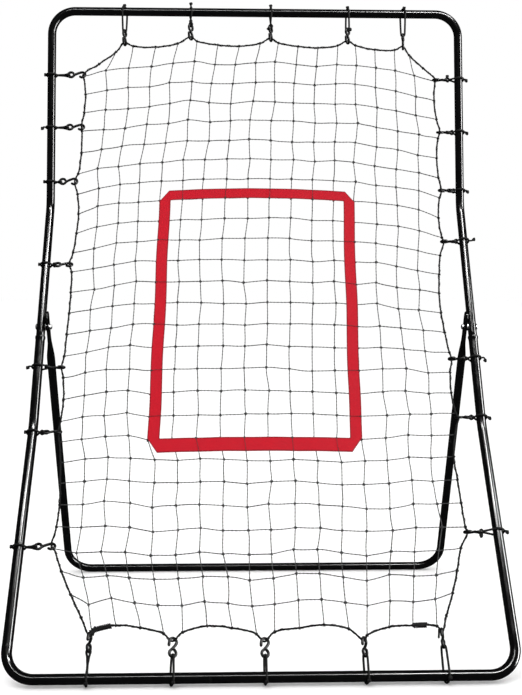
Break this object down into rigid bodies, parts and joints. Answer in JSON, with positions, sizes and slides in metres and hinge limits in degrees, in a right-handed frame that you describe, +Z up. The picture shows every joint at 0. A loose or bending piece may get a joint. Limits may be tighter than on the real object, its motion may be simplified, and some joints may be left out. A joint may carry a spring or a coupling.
{
  "type": "pitching target net",
  "caption": "Free-standing pitching target: bent tube frame with a square-mesh net hung inside on elastic loops, a red strike-zone band, and a hinged rear stand.",
  "frame": {"origin": "on the floor, in the middle of the footprint", "axes": "+X to the thrower's right, +Y away from the thrower towards the rear stand, +Z up"},
  "size_m": [0.9229, 0.6392, 1.2823],
  "materials": {
    "black_tube_paint": "gloss",
    "zinc_fastener": "satin",
    "hook_wire": "semi-gloss",
    "elastic_cord": "matt braid",
    "border_rope": "matt twisted rope",
    "net_twine": "matt twine",
    "red_webbing": "matt webbing"
  },
  "bodies": {
    "main_frame": {"upper_frame": "black_tube_paint", "lower_frame": "black_tube_paint", "pivot_bolt_left": "zinc_fastener", "pivot_washer_left": "zinc_fastener", "pivot_nut_left": "zinc_fastener", "pivot_bolt_right": "zinc_fastener", "pivot_washer_right": "zinc_fastener", "pivot_nut_right": "zinc_fastener", "elastic_loop_left_1": "elastic_cord", "wire_hook_left_1": "hook_wire", "elastic_loop_left_2": "elastic_cord", "wire_hook_left_2": "hook_wire", "elastic_loop_left_3": "elastic_cord", "wire_hook_left_3": "hook_wire", "elastic_loop_left_4": "elastic_cord", "wire_hook_left_4": "hook_wire", "elastic_loop_left_5": "elastic_cord", "wire_hook_left_5": "hook_wire", "elastic_loop_left_6": "elastic_cord", "wire_hook_left_6": "hook_wire", "elastic_loop_left_7": "elastic_cord", "wire_hook_left_7": "hook_wire", "elastic_loop_right_1": "elastic_cord", "wire_hook_right_1": "hook_wire", "elastic_loop_right_2": "elastic_cord", "wire_hook_right_2": "hook_wire", "elastic_loop_right_3": "elastic_cord", "wire_hook_right_3": "hook_wire", "elastic_loop_right_4": "elastic_cord", "wire_hook_right_4": "hook_wire", "elastic_loop_right_5": "elastic_cord", "wire_hook_right_5": "hook_wire", "elastic_loop_right_6": "elastic_cord", "wire_hook_right_6": "hook_wire", "elastic_loop_right_7": "elastic_cord", "wire_hook_right_7": "hook_wire", "elastic_loop_top_1": "elastic_cord", "wire_hook_top_1": "hook_wire", "elastic_loop_top_2": "elastic_cord", "wire_hook_top_2": "hook_wire", "elastic_loop_top_3": "elastic_cord", "wire_hook_top_3": "hook_wire", "elastic_loop_top_4": "elastic_cord", "wire_hook_top_4": "hook_wire", "elastic_loop_top_5": "elastic_cord", "wire_hook_top_5": "hook_wire", "elastic_loop_bottom_1": "elastic_cord", "wire_hook_bottom_1": "hook_wire", "elastic_loop_bottom_2": "elastic_cord", "wire_hook_bottom_2": "hook_wire", "elastic_loop_bottom_3": "elastic_cord", "wire_hook_bottom_3": "hook_wire", "elastic_loop_bottom_4": "elastic_cord", "wire_hook_bottom_4": "hook_wire", "elastic_loop_bottom_5": "elastic_cord", "wire_hook_bottom_5": "hook_wire", "border_rope": "border_rope", "net": "net_twine", "strike_zone_band": "red_webbing"},
    "rear_stand": {"rear_stand": "black_tube_paint"}
  },
  "joints": [
    {"name": "stand_fold", "type": "hinge", "parent": "main_frame", "child": "rear_stand", "pos_m": [0, 0.09987, 0.58993], "axis": [1, 0, 0], "range_deg": [-32, 10]}
  ]
}
